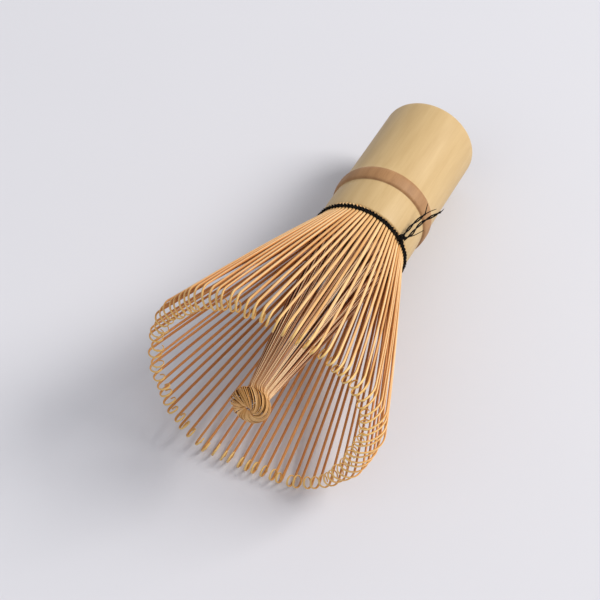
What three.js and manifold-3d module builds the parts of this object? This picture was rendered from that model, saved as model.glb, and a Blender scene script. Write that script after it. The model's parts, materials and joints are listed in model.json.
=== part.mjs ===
// A bamboo tea whisk lying on a table, on the edge of its butt and the curled tips of its tines.
//
// The real whisk is one length of bamboo culm. Past the node the wall is split into sixteen staves,
// and each stave into outer and inner tines. The outer tines flare and their tips curl inwards. The
// inner tines lean together into a cone, and their tips are twisted into a knob. A black thread,
// woven round the foot of the outer tines, holds the two sets apart, and is tied off in a knot with
// two loose ends. Here each stave's five outer tines are one piece, as are its five inner tines.
//
// Everything is drawn round the whisk's own axis: z runs from the butt to the tips, and angles start
// at the side that faces up on the table. The whole is then tilted on to its side. Millimetres.

import * as THREE from "three";
import { mergeVertices } from "three/addons/utils/BufferGeometryUtils.js";
import Module from "manifold-3d";

const wasm = await Module();
wasm.setup();

// The gap left between two pieces that touch on the real whisk.
const clearance = 0.3;

// The handle, from the butt at height 0 to the foot of the tines.
const handleRadius = 13.0;
const wallThickness = 3.6;
const threadHeight = 46.3;
const buttRounding = 1.6;
const boreChamfer = 0.5;
const septumHeight = 30.7;
const septumThickness = 2.4;
const tineSideDrop = 0.1;

// The node's scar outside: it swells up from the butt's side, drops into a groove, and rises again to
// the wall on the side of the tines. The swell is a list of [distance from its middle, share of ridge].
const scarHeight = 32.3;
const scarRidge = 0.7;
const scarGroove = 0.2;
const scarSwell = [[-3.1, 0], [-1.9, 0.7], [-1.1, 1], [1.1, 0.7]];
const scarDip = { start: 2.3, end: 2.9, rise: 4.7 };

// The staves: sixteen around, each split into five outer and five inner tines.
const staveCount = 16;
const tinesPerStave = 5;
const splitWidth = 0.22;
const staveGap = 0.3;
const rootThickness = 1.0;
const rootHeight = 1.4;
const innerRootLift = 0.3;

// An outer tine, from its root to its curled tip. Top is the side that faces up, low is underneath.
// Its flare in degrees, its front's length and its shoulder's radius swing round the whisk, which is
// pressed out of round: mean + one.cos * cos(angle) + one.sin * sin(angle), then the same for twice
// the angle.
const outerThickness = { root: 0.7, shoulder: 0.5, tip: 0.25 };
const outerWidth = { shoulder: 0.56, tip: 0.32 };
const flareRadius = 6.0;
const flareSwing = { mean: 20.6, one: { cos: -0.4, sin: -1.1 }, two: { cos: -1.2, sin: -0.8 } };
const frontSwing = { mean: 57.5, one: { cos: -1, sin: -1 }, two: { cos: 1.4, sin: -1.2 } };
const shoulderSwing = { mean: 2.4, one: { cos: 2.7, sin: -2.8 }, two: { cos: -2.1, sin: 1.2 } };
const topBow = 4.0;
const lowBow = 2.0;
const tightShoulder = 2.0;
const wideShoulder = 9.0;
const topShoulderTurn = 110;
const lowShoulderTurn = 100;
const curlRadius = 1.4;
const topCurlTurn = 215;
const lowCurlTurn = 250;

// The whisk's upper right is pressed in: its tines flare less, and bend less before they curl.
const dent = { angle: 315, flare: 5.3, shoulderTurn: 70, curlTurn: 42 };
const restSpread = 24;

// An inner tine, from its root to the knob.
const innerThickness = { root: 0.5, neck: 0.26, tip: 0.18 };
const neckRadius = 2.9;
const neckHeight = 102.7;
const neckShare = 0.66;
const tipShare = 0.5;
const knobBend = { length: 3.0, turn: 62 };
const knobCurl = { radius: 2.2, turn: 160 };
const knobTwist = -65;

// The thread, and its knot on the whisk's upper right. The front strand stands a little further off
// than the gap, because its ring is drawn with flat sides that cut its corners.
const threadBand = 0.6;
const bandAspect = 2;
const ringSag = 0.1;
const knotAngle = 307;
const knotRadius = 0.9;
const knotStandOff = 0.3;
const tailRadius = 0.25;
const tailSpread = 2.0;

// The loose ends leave the knot towards the handle. One keeps near its surface, the other stands out.
// Each is a list of [rise off the knot's outer side, distance from the thread towards the tips].
const nearTail = [[0, -1.4], [0.9, -4.8], [2.9, -8.9], [3.9, -11.6]];
const farTail = [[1.0, -0.6], [2.4, -2.7], [3.3, -6.0], [6.6, -8.8], [8.0, -9.8]];

// How finely the round shapes are drawn.
const latheSegments = 40;
const ringSegments = 40;
const ringSides = 5;
const knotSegments = { around: 10, down: 6 };
const tailSides = 8;
const tailSteps = 8;
const rootSegments = 3;
const slopeStep = 0.01;
const tiltRounds = 6;

const radians = THREE.MathUtils.degToRad;
const between = THREE.MathUtils.lerp;

// Sizes that follow from the ones above.
const tineCount = staveCount * tinesPerStave;
const tinePitch = (2 * Math.PI) / tineCount;
const stavePitch = (2 * Math.PI) / staveCount;
const tineSideRadius = handleRadius - tineSideDrop;
const boreRadius = handleRadius - wallThickness;
const tineSideBore = tineSideRadius - wallThickness;
const rootTop = threadHeight - threadBand - clearance;
const rootBottom = rootTop - rootHeight;
const rootMiddle = rootTop - rootHeight / 2;
const handleTop = rootBottom - clearance;
const outerRootRadius = tineSideRadius - rootThickness / 2;
const innerRootRadius = tineSideBore + boreChamfer + rootThickness / 2;

const finishes = {
  culm: { color: "#d9bd86", roughness: 0.5 },
  outerTines: { color: "#d8b27a", roughness: 0.55 },
  innerTines: { color: "#cfa263", roughness: 0.6 },
  thread: { color: "#15130f", roughness: 0.9 },
};

// A size that swings round the whisk, at an angle.
function swung({ mean, one, two }, angle) {
  const once = one.cos * Math.cos(angle) + one.sin * Math.sin(angle);
  return mean + once + two.cos * Math.cos(2 * angle) + two.sin * Math.sin(2 * angle);
}

// A closed geometry as a solid that can be joined and cut.
function solid(geometry) {
  const bare = geometry.clone();
  bare.deleteAttribute("normal");
  bare.deleteAttribute("uv");
  const merged = mergeVertices(bare, 1e-4);
  return new wasm.Manifold(
    new wasm.Mesh({
      numProp: 3,
      vertProperties: merged.getAttribute("position").array,
      triVerts: new Uint32Array(merged.index.array),
    }),
  );
}

// The solid's surface as a geometry again.
function surface(body) {
  const { vertProperties, triVerts } = body.getMesh();
  const geometry = new THREE.BufferGeometry();
  geometry.setAttribute("position", new THREE.BufferAttribute(vertProperties, 3));
  geometry.setIndex(new THREE.BufferAttribute(triVerts, 1));
  return geometry;
}

// A named piece of the whisk, with a matte material of its own.
function piece(name, geometry, finish) {
  const mesh = new THREE.Mesh(geometry, new THREE.MeshStandardMaterial({ ...finish, metalness: 0 }));
  mesh.name = name;
  return mesh;
}

// A solid of revolution about z from an outline of [radius, height] points.
function turned(outline) {
  const points = outline.map(([radius, height]) => new THREE.Vector2(radius, height));
  return new THREE.LatheGeometry(points, latheSegments).rotateX(Math.PI / 2);
}

// The outline of the handle: a bore from the butt, the node with its septum, and a bore on the far side.
function handleOutline() {
  const floor = septumHeight - septumThickness / 2;
  const ceiling = septumHeight + septumThickness / 2;
  const outline = [[0, floor], [boreRadius - boreChamfer, floor]];
  outline.push([boreRadius, floor - boreChamfer], [boreRadius, boreChamfer]);
  outline.push([boreRadius + boreChamfer, 0]);
  const flatEdge = handleRadius - buttRounding;
  for (const turn of [0, 30, 60, 90]) {
    const radius = flatEdge + buttRounding * Math.sin(radians(turn));
    outline.push([radius, buttRounding * (1 - Math.cos(radians(turn)))]);
  }
  for (const [distance, share] of scarSwell) {
    outline.push([handleRadius + scarRidge * share, scarHeight + distance]);
  }
  const low = handleRadius - scarGroove;
  outline.push([low, scarHeight + scarDip.start], [low, scarHeight + scarDip.end]);
  outline.push([tineSideRadius, scarHeight + scarDip.rise]);
  outline.push([tineSideRadius, handleTop], [tineSideBore, handleTop]);
  outline.push([tineSideBore, ceiling + boreChamfer], [tineSideBore - boreChamfer, ceiling], [0, ceiling]);
  return outline;
}

// Walks on from a station in a plane through the axis, along stretches of given length that each turn
// by some degrees, positive away from the axis. A strip's cross sections stand at the stations.
function walk(start, stretches) {
  let { radius, height, heading, run } = start;
  const stations = [start];
  for (const { length, turn, steps } of stretches) {
    const bend = radians(turn) / steps;
    const arc = length / steps;
    const chord = bend === 0 ? arc : (2 * arc * Math.sin(bend / 2)) / bend;
    for (let step = 0; step < steps; step += 1) {
      heading += bend / 2;
      radius += Math.sin(heading) * chord;
      height += Math.cos(heading) * chord;
      heading += bend / 2;
      run += arc;
      stations.push({ radius, height, heading, run });
    }
  }
  return stations;
}

// An arc's length for walk.
function arcLength({ radius, turn }) {
  return radius * radians(turn);
}

// The course of the outer tine at an angle, with the run at which its shoulder starts.
function outerCourse(angle) {
  const low = (1 - Math.cos(angle)) / 2;
  const dented = Math.max(Math.cos(angle - radians(dent.angle)), 0) ** 2;
  const flare = swung(flareSwing, angle) - dent.flare * dented;
  const bow = between(topBow, lowBow, low);
  const shoulder = {
    radius: THREE.MathUtils.clamp(swung(shoulderSwing, angle), tightShoulder, wideShoulder),
    turn: between(topShoulderTurn, lowShoulderTurn, low) - dent.shoulderTurn * dented,
  };
  const curl = {
    radius: curlRadius,
    turn: between(topCurlTurn, lowCurlTurn, low) + dent.curlTurn * dented,
  };
  const start = { radius: outerRootRadius, height: rootMiddle, heading: 0, run: 0 };
  const stations = walk(start, [
    { length: threadHeight - rootMiddle, turn: 0, steps: 1 },
    { length: flareRadius * radians(flare), turn: flare + bow / 2, steps: 1 },
    { length: swung(frontSwing, angle) - shoulder.radius, turn: -bow, steps: 2 },
    { length: arcLength(shoulder), turn: -shoulder.turn, steps: 3 },
    { length: arcLength(curl), turn: -curl.turn, steps: 3 },
  ]);
  return { stations, shoulderRun: stations[4].run };
}

// The widest radius that a course reaches.
function reachOf(stations) {
  return Math.max(...stations.map((station) => station.radius));
}

// The tines underneath are pressed level by the table: their bends are drawn in to one flat line.
const restLevel = reachOf(outerCourse(Math.PI).stations) * Math.cos(radians(restSpread));

function levelled(course, angle) {
  const offBottom = Math.abs(angle - Math.PI);
  if (offBottom > radians(restSpread)) {
    return course;
  }
  const wanted = restLevel / Math.cos(offBottom);
  const squeeze = (wanted - outerRootRadius) / (reachOf(course.stations) - outerRootRadius);
  for (const station of course.stations) {
    station.radius = outerRootRadius + (station.radius - outerRootRadius) * squeeze;
  }
  return course;
}

// The course of every inner tine: straight to the neck, out round the knob and in over its front.
function innerCourse() {
  const lean = Math.atan2(innerRootRadius - neckRadius, neckHeight - threadHeight);
  const leanLength = (neckHeight - threadHeight) / Math.cos(lean);
  const root = { radius: innerRootRadius, height: rootMiddle, heading: 0, run: 0 };
  const foot = { ...root, height: threadHeight, heading: -lean, run: threadHeight - rootMiddle };
  const stations = walk(foot, [
    { length: leanLength, turn: 0, steps: 1 },
    { length: knobBend.length, turn: knobBend.turn, steps: 1 },
    { length: arcLength(knobCurl), turn: -knobCurl.turn, steps: 3 },
  ]);
  return { stations: [root, ...stations], neckRun: foot.run + leanLength };
}

// A size that changes evenly between its values at marked runs: marks is a list of [run, size].
function sizeAlong(marks, run) {
  let last = marks[0];
  for (const mark of marks.slice(1)) {
    if (run <= mark[0]) {
      return between(last[1], mark[1], (run - last[0]) / (mark[0] - last[0]));
    }
    last = mark;
  }
  return last[1];
}

// A split strip: a box with one segment for each stretch between stations, bent along them.
// The strip stands at an angle round the axis, and winds on from it by twist(station) radians.
function strip(stations, angle, widthMarks, thicknessMarks, twist) {
  const lengths = stations.length - 1;
  const geometry = new THREE.BoxGeometry(1, 1, 1, 1, 1, lengths);
  const position = geometry.getAttribute("position");
  const vertex = new THREE.Vector3();
  for (let i = 0; i < position.count; i += 1) {
    vertex.fromBufferAttribute(position, i);
    const index = Math.round((vertex.z + 0.5) * lengths);
    const station = stations[index];
    const turn = angle + twist(station.run);
    const winding = twist(station.run + slopeStep) - twist(station.run - slopeStep);
    const slant = (station.radius * winding) / (2 * slopeStep);
    const outward = new THREE.Vector3(Math.cos(turn), Math.sin(turn), 0);
    const around = new THREE.Vector3(-Math.sin(turn), Math.cos(turn), 0);
    const up = new THREE.Vector3(0, 0, 1);
    const along = outward.clone().multiplyScalar(Math.sin(station.heading));
    along.addScaledVector(up, Math.cos(station.heading)).addScaledVector(around, slant).normalize();
    const face = outward.clone().multiplyScalar(Math.cos(station.heading));
    face.addScaledVector(up, -Math.sin(station.heading));
    const across = face.clone().cross(along);
    const place = outward.multiplyScalar(station.radius).addScaledVector(up, station.height);
    place.addScaledVector(across, vertex.x * sizeAlong(widthMarks, station.run));
    place.addScaledVector(face, vertex.y * sizeAlong(thicknessMarks, station.run));
    position.setXYZ(i, place.x, place.y, place.z);
  }
  return geometry;
}

// The unsplit foot of a stave: a piece of the culm's wall between two radii.
function staveRoot(middleRadius, middleAngle) {
  const inner = middleRadius - rootThickness / 2;
  const outer = middleRadius + rootThickness / 2;
  const half = stavePitch / 2 - staveGap / 2 / middleRadius;
  const outline = new THREE.Shape();
  outline.absarc(0, 0, outer, middleAngle - half, middleAngle + half, false);
  outline.absarc(0, 0, inner, middleAngle + half, middleAngle - half, true);
  const root = new THREE.ExtrudeGeometry(outline, {
    depth: rootHeight,
    curveSegments: rootSegments,
    bevelEnabled: false,
  });
  return root.translate(0, 0, rootBottom);
}

// The angle of a tine, counted from the side that faces up.
function tineAngle(index) {
  return (index + 0.5) * tinePitch;
}

// The five outer tines of a stave, joined to its foot.
function outerTines(stave) {
  const middle = (stave + 0.5) * stavePitch;
  let body = solid(staveRoot(outerRootRadius, middle));
  for (let i = 0; i < tinesPerStave; i += 1) {
    const angle = tineAngle(stave * tinesPerStave + i);
    const { stations, shoulderRun } = levelled(outerCourse(angle), angle);
    const tipRun = stations[stations.length - 1].run;
    const rootWidth = outerRootRadius * tinePitch - splitWidth;
    const widths = [[0, rootWidth], [shoulderRun, outerWidth.shoulder], [tipRun, outerWidth.tip]];
    const thicknesses = [
      [0, outerThickness.root],
      [shoulderRun, outerThickness.shoulder],
      [tipRun, outerThickness.tip],
    ];
    body = body.add(solid(strip(stations, angle, widths, thicknesses, () => 0)));
  }
  return surface(body);
}

// The five inner tines of a stave, joined to its foot, with their tips in the knob.
function innerTines(stave) {
  const middle = (stave + 0.5) * stavePitch;
  const { stations, neckRun } = innerCourse();
  const tipStation = stations[stations.length - 1];
  const tipRun = tipStation.run;
  const rootWidth = innerRootRadius * tinePitch - splitWidth;
  const widths = [
    [0, rootWidth],
    [neckRun, neckRadius * tinePitch * neckShare],
    [tipRun, tipStation.radius * tinePitch * tipShare],
  ];
  const thicknesses = [
    [0, innerThickness.root],
    [neckRun, innerThickness.neck],
    [tipRun, innerThickness.tip],
  ];
  const twist = (run) => (radians(knobTwist) * Math.max(run - neckRun, 0)) / (tipRun - neckRun);
  let body = solid(staveRoot(innerRootRadius, middle).translate(0, 0, innerRootLift));
  for (let i = 0; i < tinesPerStave; i += 1) {
    const angle = tineAngle(stave * tinesPerStave + i);
    body = body.add(solid(strip(stations, angle, widths, thicknesses, twist)));
  }
  return surface(body);
}

// A point beside the knot, off the whisk's axis by radius, at a height and an angle in degrees.
function besideKnot(radius, height, degrees) {
  const angle = radians(knotAngle + degrees);
  return new THREE.Vector3(radius * Math.cos(angle), radius * Math.sin(angle), height);
}

// The strand of thread in front of the outer tines, open where the knot sits in it.
const frontFace = outerRootRadius + outerThickness.root / 2 + clearance + ringSag;
const frontRadius = frontFace + threadBand / 2;
const knotCentre = besideKnot(frontRadius + knotStandOff, threadHeight, 0);

function frontStrand() {
  const ring = new THREE.TorusGeometry(frontRadius, threadBand / 2, ringSides, ringSegments);
  ring.scale(1, 1, bandAspect).translate(0, 0, threadHeight);
  const room = new THREE.SphereGeometry(knotRadius + clearance, knotSegments.around, knotSegments.down);
  room.translate(knotCentre.x, knotCentre.y, knotCentre.z);
  return surface(solid(ring).subtract(solid(room)));
}

// The strand behind the outer tines, between them and the inner ones.
function backStrand() {
  const outerFace = outerRootRadius - outerThickness.root / 2 - clearance;
  const innerFace = innerRootRadius + innerThickness.root / 2 + clearance;
  const ring = new THREE.TorusGeometry(
    (outerFace + innerFace) / 2,
    (outerFace - innerFace) / 2,
    ringSides,
    ringSegments,
  );
  return ring.translate(0, 0, threadHeight);
}

function knot() {
  const lump = new THREE.SphereGeometry(knotRadius, knotSegments.around, knotSegments.down);
  return lump.translate(knotCentre.x, knotCentre.y, knotCentre.z);
}

// A loose end of thread through [rise, distance] points, standing beside the knot.
function tail(points, degrees) {
  const outside = frontRadius + knotRadius;
  const course = new THREE.CatmullRomCurve3(
    points.map(([rise, distance]) => besideKnot(outside + rise, threadHeight + distance, degrees)),
  );
  const section = new THREE.Shape();
  for (let side = 0; side < tailSides; side += 1) {
    const angle = (side / tailSides) * 2 * Math.PI;
    const x = tailRadius * Math.cos(angle);
    const y = tailRadius * Math.sin(angle);
    if (side === 0) {
      section.moveTo(x, y);
    } else {
      section.lineTo(x, y);
    }
  }
  return new THREE.ExtrudeGeometry(section, { steps: tailSteps, extrudePath: course });
}

// The whisk, drawn round its own axis.
const whisk = new THREE.Group();
whisk.add(piece("handle", turned(handleOutline()), finishes.culm));
for (let stave = 0; stave < staveCount; stave += 1) {
  const number = String(stave + 1).padStart(2, "0");
  whisk.add(piece(`outer_tines_${number}`, outerTines(stave), finishes.outerTines));
  whisk.add(piece(`inner_tines_${number}`, innerTines(stave), finishes.innerTines));
}
whisk.add(piece("thread_outer_strand", frontStrand(), finishes.thread));
whisk.add(piece("thread_inner_strand", backStrand(), finishes.thread));
whisk.add(piece("thread_knot", knot(), finishes.thread));
whisk.add(piece("thread_tail_a", tail(nearTail, tailSpread), finishes.thread));
whisk.add(piece("thread_tail_b", tail(farTail, -tailSpread), finishes.thread));

// The lowest of some [radius, height] points on the underside, at a tilt.
function lowestOf(points, tilt) {
  const drop = ([radius, height]) => height * Math.sin(tilt) - radius * Math.cos(tilt);
  return points.reduce((low, point) => (drop(point) < drop(low) ? point : low));
}

// The tilt at which the butt's edge and the tips underneath both touch the table.
const bottomTine = levelled(outerCourse(Math.PI), Math.PI).stations;
const rimPoints = bottomTine.map(({ radius, height }) => [radius + outerThickness.tip / 2, height]);
let tilt = 0;
for (let round = 0; round < tiltRounds; round += 1) {
  const butt = lowestOf(handleOutline(), tilt);
  const rim = lowestOf(rimPoints, tilt);
  tilt = Math.atan2(rim[0] - butt[0], rim[1] - butt[1]);
}

// Lay the whisk down: its handle points to +Y, and the side that its angles start from faces up.
const faceUp = new THREE.Vector3(0, Math.sin(tilt), Math.cos(tilt));
const faceLeft = new THREE.Vector3(-1, 0, 0);
const toTips = new THREE.Vector3(0, -Math.cos(tilt), Math.sin(tilt));
whisk.quaternion.setFromRotationMatrix(new THREE.Matrix4().makeBasis(faceUp, faceLeft, toTips));

// The origin is on the table, under the middle of the whisk's box.
const box = new THREE.Box3().setFromObject(whisk, true);
const centre = box.getCenter(new THREE.Vector3());
whisk.position.set(-centre.x, -centre.y, -box.min.z);

const part = new THREE.Group();
part.add(whisk);

export default part;
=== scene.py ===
# %% [markdown]
# # A bamboo tea whisk
# A tea whisk is one length of bamboo culm. Its lower half is left whole, as the handle. Its upper half is
# split into staves and then into about 160 fine tines: half of them flare out and curl in at the tips, and
# half lean together and are twisted into a knob. A black thread is twined round their feet.
# This notebook dresses the fixed model of that whisk. It could be sculpted by eye, but 160 strips that all
# follow one law are easier to work out: every strip is drawn along a course in millimetres round the whisk's
# own axis, and is then carried into the frame that the model is fixed in.

# %% Load the fixed frame
import json
import math

import bpy
import numpy as np
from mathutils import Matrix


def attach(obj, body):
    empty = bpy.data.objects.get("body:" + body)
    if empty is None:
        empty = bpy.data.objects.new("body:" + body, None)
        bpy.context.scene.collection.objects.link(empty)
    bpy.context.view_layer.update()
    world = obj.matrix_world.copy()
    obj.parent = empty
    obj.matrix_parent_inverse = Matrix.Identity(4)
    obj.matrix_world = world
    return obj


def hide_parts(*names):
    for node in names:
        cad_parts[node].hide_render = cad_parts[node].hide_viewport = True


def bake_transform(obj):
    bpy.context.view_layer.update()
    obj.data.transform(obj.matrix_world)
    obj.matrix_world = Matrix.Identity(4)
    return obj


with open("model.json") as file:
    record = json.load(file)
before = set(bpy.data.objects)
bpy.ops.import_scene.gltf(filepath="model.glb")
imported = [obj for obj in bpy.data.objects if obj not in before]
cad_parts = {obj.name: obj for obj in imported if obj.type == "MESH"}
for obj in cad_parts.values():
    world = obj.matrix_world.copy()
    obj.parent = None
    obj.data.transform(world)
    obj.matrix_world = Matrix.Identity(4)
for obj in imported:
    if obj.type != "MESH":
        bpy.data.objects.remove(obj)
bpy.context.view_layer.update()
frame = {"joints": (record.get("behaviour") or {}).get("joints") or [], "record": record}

MM = 0.001

# %% [markdown]
# The whisk lies on its side, a little tilted, on the edge of its butt and the tips underneath. Its axis could
# be typed in as numbers, but then it would have to be kept in step with the model by hand. It is read from
# the frame instead: the butt's flat face looks along it, and the inner bundle's joint stands on it, level
# with the thread. Angles are counted from the side that faces up, and grow towards the frame's -X.

# %% The whisk's own axis
THREAD_HEIGHT = 46.3      # mm from the butt
joints = {joint["name"]: joint for joint in frame["joints"]}
butt_face = frame["record"]["mounts"][0]
along = -np.array(butt_face["axis"], float)
along /= np.linalg.norm(along)
facing_up = np.array([0.0, 0.0, 1.0]) - along[2] * along
facing_up /= np.linalg.norm(facing_up)
to_left = np.cross(along, facing_up)
butt_centre = np.array(joints["inner_bundle_sway"]["pos_m"]) - along * THREAD_HEIGHT * MM


def to_frame(places):
    """Places in millimetres round the whisk's axis, as points in the frame, in metres."""
    axes = np.stack([facing_up, to_left, along])
    return butt_centre + np.asarray(places, float) @ axes * MM


def round_axis(radius, angle, height):
    """Places at a radius, an angle in radians and a height from the butt, in millimetres."""
    radius, angle, height = np.broadcast_arrays(radius, angle, height)
    return np.stack([radius * np.cos(angle), radius * np.sin(angle), height], -1).astype(float)


print("tilt of the axis: %.2f degrees" % math.degrees(math.asin(along[2])))

# %% [markdown]
# The camera looks down on the open end from the whisk's right. A wide lens close by would make the tips look
# huge beside the handle, so a long one stands back, and the two ends keep their true proportions. It aims at
# a point close to the axis, part of the way along the tines.

# %% Camera
CAMERA_AZIMUTH = math.radians(26.66)        # from the frame's -Y towards its +X
CAMERA_ELEVATION = math.radians(56.18)
CAMERA_DISTANCE = 448.8                     # mm
CAMERA_LENS = 108.0                         # mm, before a sensor 36 mm wide
SENSOR_WIDTH = 36.0
AIM_RADIUS, AIM_ANGLE, AIM_HEIGHT = 4.5, math.radians(71), 72.5

aim = to_frame(round_axis(AIM_RADIUS, AIM_ANGLE, AIM_HEIGHT))
backwards = np.array([
    math.sin(CAMERA_AZIMUTH) * math.cos(CAMERA_ELEVATION),
    -math.cos(CAMERA_AZIMUTH) * math.cos(CAMERA_ELEVATION),
    math.sin(CAMERA_ELEVATION),
])
camera = bpy.data.objects.new("camera", bpy.data.cameras.new("camera"))
camera.data.lens = CAMERA_LENS
camera.data.sensor_width = SENSOR_WIDTH
camera.data.clip_start = 0.01
camera.location = aim + backwards * CAMERA_DISTANCE * MM
camera.rotation_euler = (math.pi / 2 - CAMERA_ELEVATION, 0.0, CAMERA_AZIMUTH)
scene = bpy.context.scene
scene.collection.objects.link(camera)
scene.camera = camera
print("camera at", [round(x, 3) for x in camera.location])

# %% [markdown]
# Colours are picked as sRGB hex values, as a paint program shows them, but Blender mixes light in linear
# values, so one function turns them. The render is shown plainly, without a film curve, so that a colour
# that is picked is the colour that is seen.

# %% Colours and display
scene.view_settings.view_transform = "Standard"
scene.view_settings.look = "None"


def linear(hex_colour):
    """An sRGB colour such as "#d8b27a" as linear red, green, blue and alpha."""
    levels = [int(hex_colour[i : i + 2], 16) / 255 for i in (1, 3, 5)]
    return [v / 12.92 if v <= 0.04045 else ((v + 0.055) / 1.055) ** 2.4 for v in levels] + [1.0]


print("middle grey is", round(linear("#808080")[0], 3), "in linear light")

# %% [markdown]
# Fine tines need soft light: a small lamp would lay a hard black line behind each of them. One large square
# light to the upper right of the handle plays a window, so the shadows are soft and fall to the left. A weak
# cool one in front fills the open end, and the world adds a pale light from all round.

# %% Lights
WORLD_STRENGTH = 0.60


def soft_light(name, place, size, power, colour):
    """A square area light that looks at the aim from a place in metres beside it."""
    lamp = bpy.data.lights.new(name, "AREA")
    lamp.size = size
    lamp.energy = power
    lamp.color = linear(colour)[:3]
    light = bpy.data.objects.new(name, lamp)
    light.location = aim + np.array(place)
    direction = -np.array(place)
    light.rotation_euler = (
        math.atan2(math.hypot(direction[0], direction[1]), -direction[2]),
        0.0,
        math.atan2(direction[1], direction[0]) - math.pi / 2,
    )
    scene.collection.objects.link(light)


soft_light("window", place=(1.30, 1.02, 1.32), size=0.95, power=46.0, colour="#fffcf8")
soft_light("fill", place=(-0.30, -0.55, 0.75), size=0.80, power=1.0, colour="#eef3ff")
world = bpy.data.worlds.new("studio")
world.use_nodes = True
background = world.node_tree.nodes["Background"]
background.inputs["Color"].default_value = linear("#eaebef")
background.inputs["Strength"].default_value = WORLD_STRENGTH
scene.world = world

# %% [markdown]
# A material is a small tree of nodes. They could be placed by hand in the shader editor, but written out they
# can be read and repeated. One function adds a node: its settings, then what goes into its sockets, each a
# plain value or the output of another node. A second one starts a material on Blender's principled shader,
# where roughness and the index of refraction stand for how the real surface shines.

# %% Shader helpers
MIX_SHARE, MIX_FROM, MIX_TO = 0, 6, 7       # a colour mix's sockets, by place, because their names repeat
MIX_COLOUR = 2                              # and its output
PLANT_IOR = 1.5                             # typical of wood, straw and cotton


def add(tree, kind, settings=None, sockets=None):
    """Adds a node to a material's tree and returns it."""
    node = tree.nodes.new("ShaderNode" + kind)
    for name, value in (settings or {}).items():
        setattr(node, name, value)
    for name, value in (sockets or {}).items():
        if isinstance(value, bpy.types.NodeSocket):
            tree.links.new(value, node.inputs[name])
        else:
            node.inputs[name].default_value = value
    return node


def new_material(name, roughness, specular=0.5, sheen=0.0):
    """A principled material with no pattern yet. Returns it, its tree and its shader node."""
    material = bpy.data.materials.new(name)
    material.use_nodes = True
    tree = material.node_tree
    shader = tree.nodes["Principled BSDF"]
    shader.inputs["Roughness"].default_value = roughness
    shader.inputs["IOR"].default_value = PLANT_IOR
    shader.inputs["Specular IOR Level"].default_value = specular
    shader.inputs["Sheen Weight"].default_value = sheen
    return material, tree, shader


print("materials start from an index of refraction of", PLANT_IOR)

# %% [markdown]
# The floor is a plain pale board with a matt paint. It could be pure white, but then the soft shadow and the
# open tips would drown in it, so it is a light grey, with a mottle so faint that it only keeps it from
# looking empty.

# %% Floor
FLOOR_SIZE = 3.0          # m
MOTTLE_SCALE = 14.0       # patches across the floor, each about 0.2 m

half_floor = FLOOR_SIZE / 2
corners = [(-half_floor, -half_floor, 0), (half_floor, -half_floor, 0)]
corners += [(half_floor, half_floor, 0), (-half_floor, half_floor, 0)]
floor_mesh = bpy.data.meshes.new("floor")
floor_mesh.from_pydata(corners, [], [(0, 1, 2, 3)])
# Brushed on and matt: it takes the soft shadow and shines nowhere.
painted_board, tree, shader = new_material("painted_board", roughness=0.6)
mottle = add(tree, "TexNoise", None, {"Scale": MOTTLE_SCALE, "Detail": 4.0})
paint = add(tree, "Mix", {"data_type": "RGBA"}, {
    MIX_SHARE: mottle.outputs[0],
    MIX_FROM: linear("#d0d0d6"),
    MIX_TO: linear("#d8d8dd"),
})
tree.links.new(paint.outputs[MIX_COLOUR], shader.inputs["Base Color"])
floor_mesh.materials.append(painted_board)
floor = bpy.data.objects.new("floor", floor_mesh)
scene.collection.objects.link(floor)
print("floor:", FLOOR_SIZE, "m square")

# %% [markdown]
# Bamboo is all fibre. Long straight fibres run along the culm, close under a hard waxy skin, so a whisk has
# two finishes: the smooth pale skin outside, and the darker, drier flesh where it was split. A wood texture
# laid over the whole whisk would run straight through every bend. So each vertex carries its place along and
# across its own strip in millimetres, as the attribute "grain", and the streaks follow the fibre of each
# strip wherever it bends. The attribute "tone" makes each strip a little lighter or darker than its
# neighbours, as split bamboo is, and "tip" says how far it turned golden where it was steamed and curled.

# %% Bamboo
FIBRE_SPACING = 0.16      # mm, drawn a little coarser than real fibre bundles so that it shows
STREAK_LENGTH = 30.0      # mm
PATCH_SCALE = (0.5, 0.5, 0.06)            # to a mm: patches about 2 mm across and 17 mm long
PATCH_SHARE = 0.7
CONTRAST = (0.25, 1.0)    # the shades that become the pale and the deep colour
FIBRE_RELIEF = 0.02       # mm that a fibre stands proud
FIBRE_BUMP = 0.35


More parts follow.
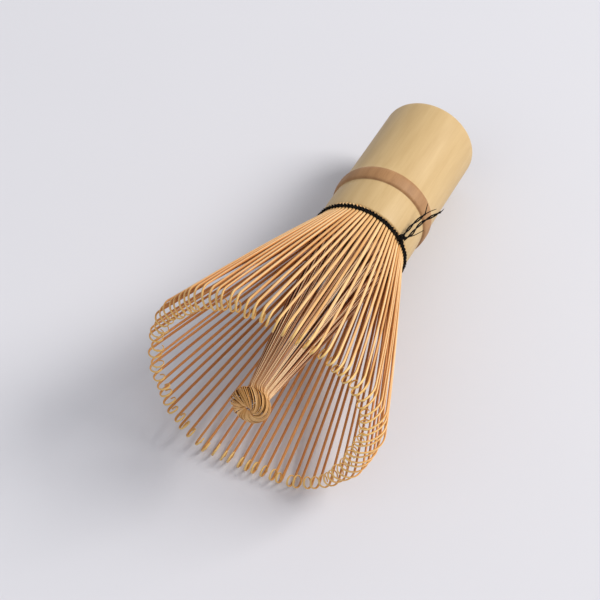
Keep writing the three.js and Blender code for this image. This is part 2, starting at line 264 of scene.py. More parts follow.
def bamboo(name, pale, deep, cured, roughness, streaks=0.5, specular=0.45):
    """Bamboo seen along its fibre: two colours in long streaks that turn to a third where it was cured."""
    material, tree, shader = new_material(name, roughness, specular)
    grain = add(tree, "Attribute", {"attribute_name": "grain"}).outputs["Vector"]
    stretch = (1 / FIBRE_SPACING, 1 / FIBRE_SPACING, 1 / STREAK_LENGTH)
    fine = add(tree, "VectorMath", {"operation": "MULTIPLY"}, {0: grain, 1: stretch})
    fibre = add(tree, "TexNoise", None, {"Vector": fine.outputs[0], "Scale": 1.0, "Detail": 2.0})
    broad = add(tree, "VectorMath", {"operation": "MULTIPLY"}, {0: grain, 1: PATCH_SCALE})
    cloud = add(tree, "TexNoise", None, {"Vector": broad.outputs[0], "Scale": 1.0, "Detail": 3.0})
    lines = add(tree, "Math", {"operation": "MULTIPLY"}, {0: fibre.outputs[0], 1: streaks})
    patches = add(tree, "Math", {"operation": "MULTIPLY_ADD"}, {
        0: cloud.outputs[0],
        1: PATCH_SHARE,
        2: lines.outputs[0],
    })
    tone = add(tree, "Attribute", {"attribute_name": "tone"})
    shade = add(tree, "Math", {"operation": "ADD", "use_clamp": True}, {
        0: patches.outputs[0],
        1: tone.outputs["Fac"],
    })
    contrast = add(tree, "MapRange", None, {
        "Value": shade.outputs[0],
        "From Min": CONTRAST[0],
        "From Max": CONTRAST[1],
    })
    colour = add(tree, "Mix", {"data_type": "RGBA"}, {
        MIX_SHARE: contrast.outputs[0],
        MIX_FROM: linear(pale),
        MIX_TO: linear(deep),
    })
    tip = add(tree, "Attribute", {"attribute_name": "tip"})
    golden = add(tree, "Mix", {"data_type": "RGBA"}, {
        MIX_SHARE: tip.outputs["Fac"],
        MIX_FROM: colour.outputs[MIX_COLOUR],
        MIX_TO: linear(cured),
    })
    tree.links.new(golden.outputs[MIX_COLOUR], shader.inputs["Base Color"])
    bump = add(tree, "Bump", None, {
        "Height": fibre.outputs[0],
        "Strength": FIBRE_BUMP,
        "Distance": FIBRE_RELIEF * MM,
    })
    tree.links.new(bump.outputs[0], shader.inputs["Normal"])
    return material


print("a patch of bamboo is", round(1 / PATCH_SCALE[0], 1), "by", round(1 / PATCH_SCALE[2], 1), "mm")

# %% [markdown]
# Outer tines come from the hard outside of the wall, and the inner ones from its softer inside. Splitting
# leaves a strip with a good face and torn sides. One finish all round would make it a wire, so each kind of
# tine has two, and the darker sides draw a line between it and the next one.

# %% Bamboo of the tines
# Scraped skin on the face of an outer tine: pale and satin, so its ridge catches a soft light.
tine_skin = bamboo("split_bamboo_skin", "#eecb94", "#cc9350", "#e6bf70", 0.45)
# Split flesh on its sides and back: dry and reddish, so each tine has a darker edge.
tine_flesh = bamboo("split_bamboo_flesh", "#d89350", "#a8622a", "#dcaa58", 0.6)
# Planed faces of the inner tines, from the inside of the wall: dull, and from pale to brown by the strip.
core_face = bamboo("split_bamboo_core", "#fad7a9", "#a8622c", "#e0a856", 0.62)
# Torn sides of the inner tines: dark and rough, so the bundle reads as many fine lines.
core_flesh = bamboo("split_bamboo_core_side", "#a85e2c", "#57280c", "#a06420", 0.7)
print("bamboo for the tines:", tine_skin.name, tine_flesh.name, core_face.name, core_flesh.name)

# %% [markdown]
# Every piece of the whisk is a mesh worked out point by point. A mesh helper joins the parts of a piece into
# one object. It keeps the grain, tone and tip of each vertex, and gives each face the finish of its side.

# %% Mesh helper
KEPT_VALUES = (("grain", "FLOAT_VECTOR", "vector"), ("tone", "FLOAT", "value"), ("tip", "FLOAT", "value"))


def build_piece(name, parts, materials):
    """One mesh object from parts, each a dict of places, grain, tone, tip, faces and sides, in mm."""
    faces, sides = [], []
    first = 0
    for part in parts:
        faces += [tuple(first + i for i in face) for face in part["faces"]]
        sides += part["sides"]
        first += len(part["places"])
    mesh = bpy.data.meshes.new(name)
    mesh.from_pydata(to_frame(np.concatenate([part["places"] for part in parts])).tolist(), [], faces)
    for material in materials:
        mesh.materials.append(material)
    mesh.polygons.foreach_set("material_index", sides)
    mesh.polygons.foreach_set("use_smooth", [True] * len(faces))
    for kept, kind, field in KEPT_VALUES:
        values = np.concatenate([part[kept] for part in parts]).astype(np.float32)
        mesh.attributes.new(kept, kind, "POINT").data.foreach_set(field, values.ravel())
    mesh.update()
    piece = bpy.data.objects.new(name, mesh)
    scene.collection.objects.link(piece)
    return piece


def in_rings(rings, around):
    """Faces that join rings of points, each ring after the one before it."""
    faces = []
    for i in range(rings - 1):
        for j in range(around):
            k = (j + 1) % around
            faces.append((i * around + j, i * around + k, (i + 1) * around + k, (i + 1) * around + j))
    return faces


def end_caps(rings, around):
    """The two faces that close the first and the last ring."""
    last = (rings - 1) * around
    return [tuple(range(around - 1, -1, -1)), tuple(range(last, last + around))]


print("a bar of two rings of four has", len(in_rings(2, 4) + end_caps(2, 4)), "faces")

# %% [markdown]
# A tine was steamed and bent, so its course lies in a plane through the axis: a straight foot, a bend where
# the thread spreads it, a long gently bowed reach, a shoulder that turns inwards and a tight curl at the tip.
# A curve object with handles could draw one, but not eighty that all differ a little. Like a road, each is
# walked in stretches that have a length and a total turn, which keeps every bend a true arc.

# %% Courses of straights and arcs


def walk(radius, height, stretches):
    """Arrays of radius, height, heading and run for stretches of (length, turn in degrees, steps)."""
    heading, run = 0.0, 0.0
    rows = [(radius, height, heading, run)]
    for length, turn, steps in stretches:
        bend, arc = math.radians(turn) / steps, length / steps
        chord = arc if abs(bend) < 1e-9 else 2 * arc * math.sin(bend / 2) / bend
        for _ in range(steps):
            heading += bend / 2
            radius += math.sin(heading) * chord
            height += math.cos(heading) * chord
            heading += bend / 2
            run += arc
            rows.append((radius, height, heading, run))
    return np.array(rows).T


def arc_length(radius, turn):
    """The length of an arc of a radius in millimetres and a turn in degrees."""
    return radius * math.radians(turn)


print("a curl of 1.4 mm that turns 215 degrees is", round(arc_length(1.4, 215.0), 2), "mm long")

# %% [markdown]
# A split strip has a nearly rectangular section with its edges just broken. A round curve bevel would hide
# that it was split, so the section is carried along the course by hand: its width lies round the whisk, its
# thickness lies in the plane of its course, and its skin always faces outwards.

# %% Strips along a course
EDGE_BREAK = 0.2                          # share of the section that the broken edges take
SECTION = np.array([
    (-0.5 + EDGE_BREAK, 0.5), (0.5 - EDGE_BREAK, 0.5),
    (0.5, 0.5 - EDGE_BREAK), (0.5, -0.5 + EDGE_BREAK),
    (0.5 - EDGE_BREAK, -0.5), (-0.5 + EDGE_BREAK, -0.5),
    (-0.5, -0.5 + EDGE_BREAK), (-0.5, 0.5 - EDGE_BREAK),
])
SKIN_SIDES = (0, 1, 7)                    # the section's outer face and its broken edges
SKIN, FLESH = 0, 1                        # places of a strip's finishes in its list
NEXT_STRIP = (7.3, 3.1, 41.0)             # mm in the grain from a strip to the next, so that no two match


def unit(vectors):
    """Vectors made one long."""
    return vectors / np.linalg.norm(vectors, axis=-1, keepdims=True)


def strip(course, angle, width, thickness, tip, tone, number):
    """A closed strip along a course. angle, width, thickness and tip have a value for each station."""
    radius, height, heading, run = course
    outward = round_axis(1.0, angle, 0.0)
    around = np.stack([-np.sin(angle), np.cos(angle), np.zeros_like(angle)], -1)
    upward = np.array([0.0, 0.0, 1.0])
    slant = radius * np.gradient(angle, run)
    ahead = outward * np.sin(heading)[:, None] + upward * np.cos(heading)[:, None]
    ahead = unit(ahead + around * slant[:, None])
    face = outward * np.cos(heading)[:, None] - upward * np.sin(heading)[:, None]
    across = np.cross(face, ahead)
    wide, thick = width[:, None] * SECTION[:, 0], thickness[:, None] * SECTION[:, 1]
    middle = round_axis(radius, angle, height)[:, None]
    places = middle + wide[..., None] * across[:, None] + thick[..., None] * face[:, None]
    corners = len(SECTION)
    grain = np.stack([wide, thick, np.repeat(run[:, None], corners, 1)], -1)
    grain = grain + np.multiply(NEXT_STRIP, number)
    round_section = [SKIN if j in SKIN_SIDES else FLESH for j in range(corners)]
    return {
        "places": places.reshape(-1, 3),
        "grain": grain.reshape(-1, 3),
        "tone": np.full(len(run) * corners, float(tone)),
        "tip": np.repeat(tip, corners),
        "faces": in_rings(len(run), corners) + end_caps(len(run), corners),
        "sides": round_section * (len(run) - 1) + [FLESH, FLESH],
    }


print("a strip's section has", len(SECTION), "corners")

# %% [markdown]
# Eighty outer tines stand round the rim, five to a stave. They aren't all alike: soaked, used and dried, they
# have set differently round the whisk. The rim leans to one side, the shoulders are wide on one side and
# tight on the other, and at the upper right a few tines are pressed in, with their shoulders half opened.
# Placing each one by hand would be slow and look it, so each of these sizes swings round the whisk as one or
# two smooth waves of the angle.

# %% Outer tines: driving sizes
TINES = 80
TINES_PER_STAVE = 5
STAVES = 16
TINE_PITCH = 2 * math.pi / TINES
OUTER_ROOT_RADIUS = 12.4                          # mm
ROOT_START = 44.8                                 # mm from the butt
ROOT_BEND_RADIUS = 6.0                            # mm
FLARE_SWING = (20.6, -0.4, -1.1, -1.2, -0.8)      # degrees
FRONT_SWING = (57.5, -1.0, -1.0, 1.4, -1.2)       # mm from the thread to the front of the shoulder
SHOULDER_SWING = (2.4, 2.7, -2.8, -2.1, 1.2)      # mm, of the shoulder's radius
TIGHT_SHOULDER, WIDE_SHOULDER = 2.0, 9.0          # mm, the least and the most that it may be
TOP_BOW, LOW_BOW = 4.0, 2.0                       # degrees
TOP_SHOULDER_TURN, LOW_SHOULDER_TURN = 110.0, 100.0
TOP_CURL_TURN, LOW_CURL_TURN = 215.0, 265.0
CURL_RADIUS, DENTED_CURL_RADIUS = 1.4, 1.1        # mm
DENT_ANGLE = math.radians(315)
DENT_FLARE, DENT_SHOULDER, DENT_CURL = 5.3, 70.0, 54.6      # degrees less, less and more
LOOSE_ANGLE = math.radians(70)
LOOSE_CURL = 60.0                                 # degrees less curled on this side


def between(start, end, share):
    """A size that changes evenly from its start to its end."""
    return start + (end - start) * share


def swung(swing, angle):
    """A size that swings round the whisk. Its swing is a mean, then cosine and sine of one and two waves."""
    mean, one_cos, one_sin, two_cos, two_sin = swing
    once = one_cos * math.cos(angle) + one_sin * math.sin(angle)
    return mean + once + two_cos * math.cos(2 * angle) + two_sin * math.sin(2 * angle)


def near(angle, middle):
    """One at an angle, none from a quarter turn off it, and smooth in between."""
    return max(math.cos(angle - middle), 0.0) ** 2


for side, degrees in (("top", 0), ("left", 90), ("bottom", 180), ("right", 270)):
    print("flare at the", side + ":", round(swung(FLARE_SWING, math.radians(degrees)), 1), "degrees")

# %% [markdown]
# With those sizes, one function walks the course of the tine at any angle. The table presses the tines
# underneath level, so theirs are drawn in until they reach down to one flat line and no further.

# %% Outer tines: the course
REST_SPREAD = math.radians(24.0)                  # each side of straight down, where the table presses


def outer_course(angle, flare_off=0.0, curl_off=0.0, curl_scale=1.0):
    """The course of the outer tine at an angle, and the runs where its shoulder and its curl start."""
    low = (1 - math.cos(angle)) / 2
    dented, loose = near(angle, DENT_ANGLE), near(angle, LOOSE_ANGLE)
    flare = swung(FLARE_SWING, angle) - DENT_FLARE * dented + flare_off
    bow = between(TOP_BOW, LOW_BOW, low)
    shoulder_radius = float(np.clip(swung(SHOULDER_SWING, angle), TIGHT_SHOULDER, WIDE_SHOULDER))
    shoulder_turn = between(TOP_SHOULDER_TURN, LOW_SHOULDER_TURN, low) - DENT_SHOULDER * dented
    shoulder = arc_length(shoulder_radius, shoulder_turn)
    curl_radius = between(CURL_RADIUS, DENTED_CURL_RADIUS, dented) * curl_scale
    curl_turn = between(TOP_CURL_TURN, LOW_CURL_TURN, low) + curl_off
    curl_turn += DENT_CURL * dented - LOOSE_CURL * loose
    foot = THREAD_HEIGHT - ROOT_START
    root_bend = arc_length(ROOT_BEND_RADIUS, flare)
    reach = swung(FRONT_SWING, angle) - shoulder_radius
    course = walk(OUTER_ROOT_RADIUS, ROOT_START, [
        (foot, 0.0, 2),
        (root_bend, flare + bow / 2, 5),
        (reach, -bow, 14),
        (shoulder, -shoulder_turn, 12),
        (arc_length(curl_radius, curl_turn), -curl_turn, 18),
    ])
    shoulder_run = foot + root_bend + reach
    return course, shoulder_run, shoulder_run + shoulder


REST_LEVEL = outer_course(math.pi)[0][0].max() * math.cos(REST_SPREAD)


def levelled(course, angle):
    """The course as the table leaves it: at the bottom of the whisk it is drawn in to one flat line."""
    off_bottom = abs((angle % (2 * math.pi)) - math.pi)
    if off_bottom > REST_SPREAD:
        return course
    wanted = REST_LEVEL / math.cos(off_bottom)
    squeeze = (wanted - OUTER_ROOT_RADIUS) / (course[0].max() - OUTER_ROOT_RADIUS)
    level = course.copy()
    level[0] = OUTER_ROOT_RADIUS + (course[0] - OUTER_ROOT_RADIUS) * squeeze
    return level


print("the table is", round(REST_LEVEL, 2), "mm below the axis at the tips")

# %% [markdown]
# No two hand-split tines are the same. A seeded generator gives each one its own small differences in flare,
# curl, drift, width and shade, and because it is seeded the whisk comes out the same each time. A tine also
# tapers: it is widest just past the thread, and shaved thin where it curls.

# %% Outer tines: one tine
OUTER_WIDTHS = (0.74, 0.76, 0.60, 0.50, 0.34)     # mm: foot, just past it, shoulder, curl and tip
OUTER_THICKNESSES = (0.70, 0.62, 0.46, 0.30, 0.20)
TAPER_RUN = 6.0                                   # mm from the foot to the second of these
FLARE_SPREAD, CURL_SPREAD = 0.35, 14              # degrees
CURL_SIZE_SPREAD, WIDTH_SPREAD, TONE_SPREAD = 0.08, 0.05, 0.12      # shares
DRIFT_SPREAD = math.radians(0.55)                 # round the whisk, by the tip
COIL, COIL_SPREAD = 0.45, 0.25                    # mm that the curl moves aside, like a spring's turn
GOLDEN_LEAD = 2.0                                 # mm before the shoulder where the gold starts
GOLDEN_SHARE = 0.8
rng = np.random.default_rng(80)


def outer_tine(index):
    """One outer tine as a part of its stave's mesh."""
    angle = (index + 0.5) * TINE_PITCH
    flare_off, curl_off, curl_size, drift_off, coil_off, width_off, tone_off, _ = rng.normal(0.0, 1.0, 8)
    course, shoulder_run, curl_run = outer_course(
        angle,
        FLARE_SPREAD * flare_off,
        CURL_SPREAD * curl_off,
        1 + CURL_SIZE_SPREAD * curl_size,
    )
    course = levelled(course, angle)
    run = course[3]
    tip_run = run[-1]
    drift = DRIFT_SPREAD * drift_off * (run / tip_run) ** 2
    in_curl = np.clip((run - curl_run) / (tip_run - curl_run), 0, 1)
    coil = (COIL + COIL_SPREAD * coil_off) * in_curl / course[0]
    marks = [0.0, TAPER_RUN, shoulder_run, curl_run, tip_run]
    width = np.interp(run, marks, OUTER_WIDTHS) * (1 + WIDTH_SPREAD * width_off)
    thickness = np.interp(run, marks, OUTER_THICKNESSES)
    gold_start = shoulder_run - GOLDEN_LEAD
    golden = np.clip((run - gold_start) / (curl_run - gold_start), 0, 1) * GOLDEN_SHARE
    return strip(course, angle + drift + coil, width, thickness, golden, TONE_SPREAD * tone_off, index)


outer_parts = [outer_tine(index) for index in range(TINES)]
print("outer tines:", len(outer_parts), "of", len(outer_parts[0]["places"]), "points")

# %% [markdown]
# The five tines of a stave share a foot and move together, so they are one piece. The thread holds their feet
# fast to the handle while their tips move with the stave. Each piece takes the place of the model's stave,
# and two points 30 mm apart along the whisk are worked out for it but not used.

# %% Outer tines: the pieces
BEND_REACH = 30.0         # mm along the whisk from the thread to a point worked out for each piece, not used
BEND_SPREAD = 10.0        # mm outwards of that point

for stave in range(STAVES):
    number = "%02d" % (stave + 1)
    first = stave * TINES_PER_STAVE
    stave_parts = outer_parts[first : first + TINES_PER_STAVE]
    piece = build_piece("outer_tines_set_" + number, stave_parts, [tine_skin, tine_flesh])
    middle = (stave + 0.5) * 2 * math.pi / STAVES
    start = to_frame(round_axis(OUTER_ROOT_RADIUS, middle, THREAD_HEIGHT))
    end = to_frame(round_axis(OUTER_ROOT_RADIUS + BEND_SPREAD, middle, THREAD_HEIGHT + BEND_REACH))
    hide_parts("outer_tines_" + number)
    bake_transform(piece)
print("outer tines:", TINES, "in", STAVES, "staves")

# %% [markdown]
# The inner tines are finer. They lean straight together to a narrow neck, spread round the knob and are
# twisted over its front into the hole in its middle. A ball with a drawn pattern would look solid, so the
# knob is made as the real one is, of eighty strips that turn back and wind into each other. They were split
# from the inside of the wall. On the whisk's left, away from the window light, they are painted darker as
# shade.

# %% Inner tines
INNER_ROOT_RADIUS = 10.3                          # mm
NECK_RADIUS, NECK_HEIGHT = 2.9, 102.7             # mm
LEAN_BEND = 2.0                                   # mm of the tine in which it turns inwards
KNOB_BEND, KNOB_BEND_TURN = 3.0, 62.0             # mm and degrees, outwards past the neck
KNOB_RADIUS, KNOB_TURN = 2.35, 205.0              # mm and degrees, back over the knob's front
KNOB_TWIST, KNOB_TWIST_LATE = math.radians(-115), 1.3
INNER_WIDTHS = (0.50, 0.40, 0.18, 0.24)           # mm: foot, just past it, neck and tip
INNER_THICKNESSES = (0.5, 0.46, 0.26, 0.2)
INNER_TAPER_RUN = 6.0                             # mm
LEAN_SPREAD, TUCK_SPREAD = 0.38, 0.42             # mm off the cone, and into the knob
SWAY_SPREAD, TWIST_SPREAD = math.radians(1.2), math.radians(4.0)
INNER_WIDTH_SPREAD, INNER_TONE_SPREAD = 0.08, 0.34
INNER_TONE = -0.15                                # the bundle's own shade
# Painted shade: inner tines near this angle, on the whisk's left away from the window, are drawn darker by
# this much.
PAINTED_SHADE_ANGLE = math.radians(85)
PAINTED_SHADE_TONE = 0.35
INNER_GOLDEN_SHARE = 0.62
INNER_GOLDEN_LEAD, INNER_GOLDEN_REACH = 1.0, 4.0  # mm
INNER_NUMBER = 200                                # their grain starts past the outer tines'


def inner_tine(index):
    """One inner tine as a part of the bundle's mesh."""
    own_angle = (index + 0.5) * TINE_PITCH
    lean_off, sway_off, twist_off, width_off, tuck_off, tone_off = rng.normal(0.0, 1.0, 6)
    foot = THREAD_HEIGHT - ROOT_START
    lean = math.atan2(INNER_ROOT_RADIUS - NECK_RADIUS, NECK_HEIGHT - THREAD_HEIGHT)
    length = (NECK_HEIGHT - THREAD_HEIGHT) / math.cos(lean)
    course = walk(INNER_ROOT_RADIUS, ROOT_START, [
        (foot, 0.0, 2),
        (LEAN_BEND, -math.degrees(lean), 2),
        (length - LEAN_BEND, 0.0, 12),
        (KNOB_BEND, KNOB_BEND_TURN, 8),
        (arc_length(KNOB_RADIUS, KNOB_TURN), -KNOB_TURN, 24),
    ])
    run = course[3]
    neck_run = foot + length
    in_knob = np.clip((run - neck_run) / (run[-1] - neck_run), 0, 1)
    in_reach = np.sin(np.pi * np.clip(run / neck_run, 0, 1))
    course[0] = course[0] + LEAN_SPREAD * lean_off * in_reach
    course[0] = course[0] - TUCK_SPREAD * abs(tuck_off) * np.sin(np.pi * in_knob)
    sway = SWAY_SPREAD * sway_off * in_reach
    twist = KNOB_TWIST * in_knob**KNOB_TWIST_LATE + TWIST_SPREAD * twist_off * in_knob
    marks = [0, INNER_TAPER_RUN, neck_run, run[-1]]
    width = np.interp(run, marks, INNER_WIDTHS) * (1 + INNER_WIDTH_SPREAD * width_off)
    thickness = np.interp(run, marks, INNER_THICKNESSES)
    golden = np.clip((run - neck_run + INNER_GOLDEN_LEAD) / INNER_GOLDEN_REACH, 0, 1) * INNER_GOLDEN_SHARE
    # Painted shade: the tine's tone is darker the nearer it stands to the whisk's left side, away from the
    # window light.
    painted_shade = PAINTED_SHADE_TONE * max(math.cos(own_angle - PAINTED_SHADE_ANGLE), 0.0)
    tone = INNER_TONE_SPREAD * tone_off + painted_shade + INNER_TONE
    return strip(course, own_angle + sway + twist, width, thickness, golden, tone, INNER_NUMBER + index)


inner_parts = [inner_tine(index) for index in range(TINES)]
print("inner tines:", len(inner_parts), "of", len(inner_parts[0]["places"]), "points")

# %% [markdown]
# Their tips hold each other in the knob, so the inner tines move as one bundle and are one piece. Like a
# stave's, its two points along the whisk are worked out but not used.

# %% Inner tines: the piece
bundle = build_piece("inner_tines_bundle", inner_parts, [core_face, core_flesh])
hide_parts(*["inner_tines_%02d" % (stave + 1) for stave in range(STAVES)])
to_frame(round_axis(0.0, 0.0, THREAD_HEIGHT))
to_frame(round_axis(0.0, 0.0, THREAD_HEIGHT + BEND_REACH))
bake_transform(bundle)
print("bundle:", len(bundle.data.polygons), "faces")

# %% [markdown]
# The handle is the whole culm, hollow but for the wall across it at the node. A cylinder would look machined.
# The culm is turned from an outline instead, like a pot: the floor and bore seen from the butt, the rounded
# butt, the skin with the ridge and groove of one node, and the hollow on the tine side. Each outline point
# says which finish ends at it.

# %% Handle: the outline
CULM_SKIN, CUT_END, BORE, SCAR = range(4)         # places of the handle's finishes in its list
HANDLE_RADIUS = 13.0                              # mm
BORE_RADIUS = 9.4
HOLLOW_RADIUS = 9.3                               # on the tine side
SEPTUM_LOW, SEPTUM_HIGH = 29.5, 31.9              # mm from the butt
BUTT_FLAT, BUTT_DEPTH = 11.6, 1.7                 # where the butt's rounding starts, and how deep it is
HANDLE_TOP = 45.3


def outlined(finish, *points):
    """Outline points of (radius, height) with their finish."""
    return [(radius, height, finish) for radius, height in points]


handle_outline = outlined(BORE, (0.0, SEPTUM_LOW), (8.4, SEPTUM_LOW), (9.1, SEPTUM_LOW - 0.3))
handle_outline += outlined(BORE, *[(BORE_RADIUS, height) for height in (28.4, 22.0, 12.0, 2.0, 0.5)])
handle_outline += outlined(CUT_END, (9.55, 0.15), (9.9, 0.0), (10.8, 0.0), (BUTT_FLAT, 0.0))
for corner in np.radians(range(15, 91, 15)):
    out = (HANDLE_RADIUS - BUTT_FLAT) * math.sin(corner)
    handle_outline += outlined(CULM_SKIN, (BUTT_FLAT + out, BUTT_DEPTH * (1 - math.cos(corner))))
# The skin up to the node, just hollow between the butt and the swelling below the scar.
handle_outline += outlined(CULM_SKIN, (13.0, 4.0), (12.98, 10.0), (12.97, 16.0), (12.98, 22.0))
handle_outline += outlined(CULM_SKIN, (13.0, 26.0), (13.03, 28.4), (13.1, 29.4), (13.2, 29.9))
# The scar that the sheath left: a rounded ridge, steep on its upper side.
handle_outline += outlined(SCAR, (13.36, 30.3), (13.5, 30.6), (13.58, 31.0), (13.6, 31.6))
handle_outline += outlined(SCAR, (13.58, 32.4), (13.52, 33.2), (13.42, 33.9))
handle_outline += outlined(SCAR, (13.28, 34.3), (13.05, 34.5), (12.78, 34.62))
# The groove above it, and the collar that was shaved a little thinner for the thread.
handle_outline += outlined(CULM_SKIN, (12.74, 34.85), (12.8, 35.2), (12.86, 36.0), (12.9, 38.0))
handle_outline += outlined(CULM_SKIN, (12.9, 40.5), (12.88, 43.0), (12.8, 44.8))
handle_outline += outlined(CUT_END, (12.7, HANDLE_TOP), (11.0, HANDLE_TOP + 0.05))
handle_outline += outlined(BORE, (9.4, HANDLE_TOP))
handle_outline += outlined(BORE, *[(HOLLOW_RADIUS, height) for height in (44.9, 40.0, 33.0)])
handle_outline += outlined(BORE, (8.8, SEPTUM_HIGH + 0.3), (7.0, SEPTUM_HIGH), (0.0, SEPTUM_HIGH))
print("handle's outline:", len(handle_outline), "points")

# %% [markdown]
# No culm is round. It is a little oval, and its node is a wavy ring that isn't quite level. A displacement
# modifier could do this, but two short sums of waves say exactly by how much, and the node's waves can keep
# off the bore.

# %% Handle: a culm out of round
NODE_HEIGHT, NODE_REACH = 32.4, 3.0               # mm: the scar's middle, and how far its waves reach
OVAL, THREE_SIDED = 0.006, 0.003                  # shares of the radius
SCAR_LUMPS, SCAR_SLANT, SCAR_WAVE = 0.06, 0.45, 0.12        # mm: outwards, and twice along the culm
SKIN_FROM = 12.0                                  # mm, the least radius that is skin


def grown(radius, height, angle):
    """Rings of a radius and a height as they grew. The phases turn each wave to where the culm has it."""
    oval = 1 + OVAL * np.cos(2 * angle + 0.7) + THREE_SIDED * np.cos(3 * angle + 2.1)
    node = np.exp(-(((height - NODE_HEIGHT) / NODE_REACH) ** 2)) * (radius > SKIN_FROM)
    slant = SCAR_SLANT * np.sin(angle) + SCAR_WAVE * np.sin(3 * angle + 0.4)
    return radius * oval + SCAR_LUMPS * node * np.sin(5 * angle + 1.0), height + node * slant


def turned(outline, around):
    """A culm turned from (radius, height, finish) points. The first and last lie on the axis."""
    radius, height, finish = np.array(outline).T
    angle = np.linspace(0, 2 * math.pi, around, endpoint=False)
    ring_radius, ring_height = grown(radius[1:-1, None], height[1:-1, None], angle)
    rings = round_axis(ring_radius, angle, ring_height)
    places = np.concatenate([rings.reshape(-1, 3), [[0, 0, height[0]]], [[0, 0, height[-1]]]])
    faces = in_rings(len(rings), around)
    sides = np.repeat(finish[2:-1], around).astype(int).tolist()
    end, start = len(places) - 1, len(places) - 2
    top = (len(rings) - 1) * around
    for j in range(around):
        k = (j + 1) % around
        faces += [(start, k, j), (end, top + j, top + k)]
        sides += [int(finish[0]), int(finish[-1])]
    return {
        "places": places,
        "grain": places,
        "tone": np.zeros(len(places)),
        "tip": np.zeros(len(places)),
        "faces": faces,
        "sides": sides,
    }


print("the oval moves the skin by", round(OVAL * HANDLE_RADIUS, 3), "mm")

# %% [markdown]
# The culm's skin was washed, dried and left plain, so it is a pale satin. Where it was sawn, inside, and at
# the scar, there is no wax: these are duller and browner. All four are the same bamboo with other colours,
# because the fibre runs through them all.

# %% Handle: the piece
AROUND = 160              # points round it
# Dried skin under its thin wax: pale straw with faint long streaks and a soft broad shine.
culm_skin = bamboo("culm_skin", "#c9ad7e", "#b29362", "#b29362", 0.48, streaks=0.35, specular=0.3)
# Sawn across the fibre at both ends: dull, with brown fibre ends.
culm_cut_end = bamboo("culm_cut_end", "#d4b681", "#a9804a", "#a9804a", 0.7)
# The papery lining of the hollow: the dullest of them.
culm_bore = bamboo("culm_bore", "#d2b583", "#a8824e", "#a8824e", 0.75)
# The scar of the sheath: bare brown fibre with no skin over it.
culm_node_scar = bamboo("culm_node_scar", "#b28658", "#7f5631", "#7f5631", 0.62, streaks=0.4)

culm_finishes = [culm_skin, culm_cut_end, culm_bore, culm_node_scar]
handle = build_piece("handle_culm", [turned(handle_outline, AROUND)], culm_finishes)
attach(handle, "handle")
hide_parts("handle")
print("handle:", len(handle.data.polygons), "faces")

# %% [markdown]
# The thread is black cotton. Cotton is spun, not drawn, so it has no shine but for a breath of sheen from its
# fuzz. Its fibres are too fine to model, and a fine noise breaks up the black instead.

# %% Dyed cotton
FUZZ_SIZE = 0.24          # mm, drawn about ten times coarser than cotton fibre so that it can show

# Dyed and spun: a flat warm black that only the twist of its plies gives any light and shade.
cotton, tree, shader = new_material("dyed_cotton_thread", roughness=0.9, specular=0.12, sheen=0.03)
place = add(tree, "Attribute", {"attribute_name": "grain"})
fuzz = add(tree, "TexNoise", None, {"Vector": place.outputs["Vector"], "Scale": 1 / FUZZ_SIZE, "Detail": 2.0})
dye = add(tree, "Mix", {"data_type": "RGBA"}, {
    MIX_SHARE: fuzz.outputs[0],
    MIX_FROM: linear("#080706"),
    MIX_TO: linear("#181512"),
})
tree.links.new(dye.outputs[MIX_COLOUR], shader.inputs["Base Color"])
print("thread:", cotton.name)

# %% [markdown]
# Two plies twisted together make the thread, and this shows as slanting ridges at its edge. A curve with a
# round bevel would be a smooth wire. So a path is first wound into two plies, and each ply is then a thin
# tube of its own, with its rings carried along the path without twisting.

# %% Tubes and plies
OFF_EVERY_PATH = (0.3, 0.5, 0.8)          # a direction that no thread here starts in


def tube(path, radius, around, taper=1.0):
    """A closed round tube along a path of places in millimetres, with one taper or one for each place."""
    ahead = unit(np.gradient(path, axis=0))
    side = np.cross(ahead[0], OFF_EVERY_PATH)
    sideways = []
    for direction in ahead:
        side = unit(side - direction * (side @ direction))
        sideways.append(side)
    sideways = np.array(sideways)[:, None]
    other = np.cross(ahead, sideways[:, 0])[:, None]
    turn = np.linspace(0, 2 * math.pi, around, endpoint=False)[None, :, None]
    size = np.broadcast_to(radius * np.asarray(taper), len(path))[:, None, None]
    places = (path[:, None] + size * (np.cos(turn) * sideways + np.sin(turn) * other)).reshape(-1, 3)
    faces = in_rings(len(path), around) + end_caps(len(path), around)
    return {
        "places": places,
        "grain": places,
        "tone": np.zeros(len(places)),
        "tip": np.zeros(len(places)),
        "faces": faces,
        "sides": [0] * len(faces),
    }


def plies(path, offset, pitch, phase=0.0):
    """Two paths that wind round a path like the plies of a thread."""
    ahead = unit(np.gradient(path, axis=0))
    run = np.concatenate([[0], np.cumsum(np.linalg.norm(np.diff(path, axis=0), axis=1))])
    side = unit(np.cross(ahead, unit(path * [1, 1, 0] + 1e-6)))
    other = np.cross(ahead, side)
    turn = 2 * math.pi * run / pitch + phase
    wound = offset * (np.cos(turn)[:, None] * side + np.sin(turn)[:, None] * other)
    return path + wound, path - wound


THREAD_RADIUS = 0.30      # mm
PLY_PITCH = 1.5           # mm of thread to a full turn of its plies
print("the plies turn about", round(2 * math.pi * OUTER_ROOT_RADIUS / PLY_PITCH), "times round the whisk")

# %% [markdown]
# The thread holds the tines apart by twining, as in a basket: two strands pass round the tines, one in front
# and one behind, and change places between each tine and the next, so the tines stand in the eyes of a double
# helix. Two rows of this make the band. A plain ring would miss its beaded look, so each strand is woven in
# and out by a wave that has one half for each tine.

# %% Twined band
HALF_TINE = 0.35          # mm, from a tine's middle to its face at the thread
ROW_OFFSET = 0.32         # mm that each row lies off the thread's height
STRAND_SLANT = 0.12       # mm that a strand rises and falls as it changes places
PLY_SHARE = 0.56          # a ply's radius, as a share of the thread's
STEPS_AROUND = 1600

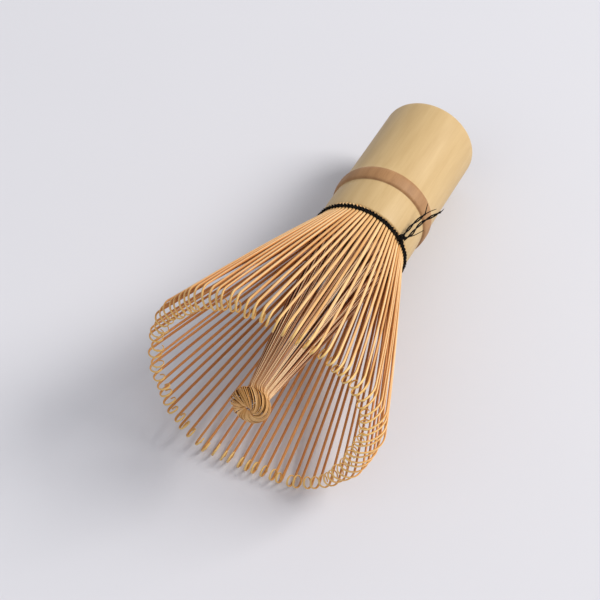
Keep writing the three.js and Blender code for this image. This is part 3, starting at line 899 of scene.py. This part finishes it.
theta = np.linspace(0, 2 * math.pi, STEPS_AROUND + 1)
weave = np.sin(TINES / 2 * theta)
band_parts = []
for row, height in enumerate((THREAD_HEIGHT - ROW_OFFSET, THREAD_HEIGHT + ROW_OFFSET)):
    for strand in (0, 1):
        sign = 1 if strand == row % 2 else -1
        radius = OUTER_ROOT_RADIUS + sign * (HALF_TINE + THREAD_RADIUS) * weave
        level = height + sign * STRAND_SLANT * np.cos(TINES / 2 * theta)
        for ply in plies(round_axis(radius, theta, level), THREAD_RADIUS / 2, PLY_PITCH, row):
            band_parts.append(tube(ply, THREAD_RADIUS * PLY_SHARE, 6))
band = build_piece("thread_twining", band_parts, [cotton])
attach(band, "handle")
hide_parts("thread_outer_strand", "thread_inner_strand")
print("twined band:", len(band.data.polygons), "faces")

# %% [markdown]
# The strands end in one small hard knot on the whisk's upper right. A pulled overhand knot is a trefoil, and
# three sines draw that, so it needs no hand-placed points: it winds three times over and under itself, drawn
# so tight that only its lumps show.

# %% Knot
KNOT_ANGLE = math.radians(307)
KNOT_RADIUS = 13.7        # mm from the axis
KNOT_SIZE, KNOT_DEPTH, KNOT_LOOPS = 0.42, 0.34, 1.6         # mm, mm and share
KNOT_PLY_SHARE = 0.62
knot_out = round_axis(1.0, KNOT_ANGLE, 0.0)
knot_round = np.array([-math.sin(KNOT_ANGLE), math.cos(KNOT_ANGLE), 0.0])
knot_up = np.array([0.0, 0.0, 1.0])
knot_centre = round_axis(KNOT_RADIUS, KNOT_ANGLE, THREAD_HEIGHT)


def beside_knot(out, up, around):
    """A place off the knot: outwards, towards the tines, and round the whisk, in millimetres."""
    out, up, around = np.broadcast_arrays(out, up, around)
    return knot_centre + out[..., None] * knot_out + up[..., None] * knot_up + around[..., None] * knot_round


t = np.linspace(0, 2 * math.pi, 161)
trefoil = beside_knot(
    KNOT_DEPTH * np.sin(3 * t),
    KNOT_SIZE * (np.cos(t) - KNOT_LOOPS * np.cos(2 * t)),
    KNOT_SIZE * (np.sin(t) + KNOT_LOOPS * np.sin(2 * t)),
)
knot_plies = plies(trefoil, THREAD_RADIUS / 2, PLY_PITCH)
knot_parts = [tube(ply, THREAD_RADIUS * KNOT_PLY_SHARE, 8) for ply in knot_plies]
knot = build_piece("thread_knot_tied", knot_parts, [cotton])
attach(knot, "handle")
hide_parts("thread_knot")
print("knot:", len(knot.data.polygons), "faces")

# %% [markdown]
# Two loose ends, about 12 mm long, stand out stiffly from the knot towards the handle. Cut cotton opens, so
# their plies wind wider than in the band and they end in short tapered forks. Each is a smooth curve through
# a few given points, because how a thread end was left lying follows no law.

# %% Loose ends
OPEN_PLY_OFFSET, OPEN_PLY_PITCH, OPEN_PLY_RADIUS = 0.22, 7.0, 0.18      # mm
FORK_RADIUS = 0.16        # mm where it starts, and half of that at its tip
END_STEPS, FORK_STEPS = 80, 24


def smooth_path(points, count):
    """A smooth path past a knot through given points, by Catmull-Rom."""
    points = np.array([beside_knot(*point) for point in points])
    padded = np.concatenate([[2 * points[0] - points[1]], points, [2 * points[-1] - points[-2]]])
    path = []
    for s in np.linspace(0, len(points) - 1 - 1e-9, count):
        i, f = int(s), s - int(s)
        a, b, c, d = padded[i : i + 4]
        bent = (2 * a - 5 * b + 4 * c - d) * f**2 + (3 * b - a - 3 * c + d) * f**3
        path.append(0.5 * (2 * b + (c - a) * f + bent))
    return np.array(path)


def loose_end(name, node, points, forks):
    """A thread end of two opened plies, with short forks of fibre."""
    opened = plies(smooth_path(points, END_STEPS), OPEN_PLY_OFFSET, OPEN_PLY_PITCH)
    parts = [tube(ply, OPEN_PLY_RADIUS, 8) for ply in opened]
    for fork in forks:
        parts.append(tube(smooth_path(fork, FORK_STEPS), FORK_RADIUS, 6, np.linspace(1, 0.5, FORK_STEPS)))
    piece = build_piece(name, parts, [cotton])
    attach(piece, "handle")
    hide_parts(node)
    print(name + ":", len(piece.data.polygons), "faces")


loose_end(
    "thread_end_near",
    "thread_tail_a",
    points=[(0.4, -0.6, 0.2), (1.3, -4.8, 0.3), (3.2, -8.9, 0.2)],
    forks=[
        [(3.2, -8.9, 0.2), (3.0, -10.6, 0.6), (2.6, -12.6, 0.9)],
        [(3.2, -8.9, 0.2), (4.2, -10.2, 0.0), (5.4, -11.2, -0.3)],
        [(0.3, -0.3, -0.2), (2.4, -1.8, -1.0), (4.2, -4.2, -1.5)],
    ],
)
loose_end(
    "thread_end_far",
    "thread_tail_b",
    points=[(0.6, 0.2, -0.5), (1.9, -1.5, -0.5), (3.3, -6.0, -0.3), (6.6, -8.8, -0.3), (7.6, -9.5, -0.3)],
    forks=[[(7.2, -9.2, -0.3), (7.9, -9.7, -0.2), (8.5, -10.1, 0.1)]],
)
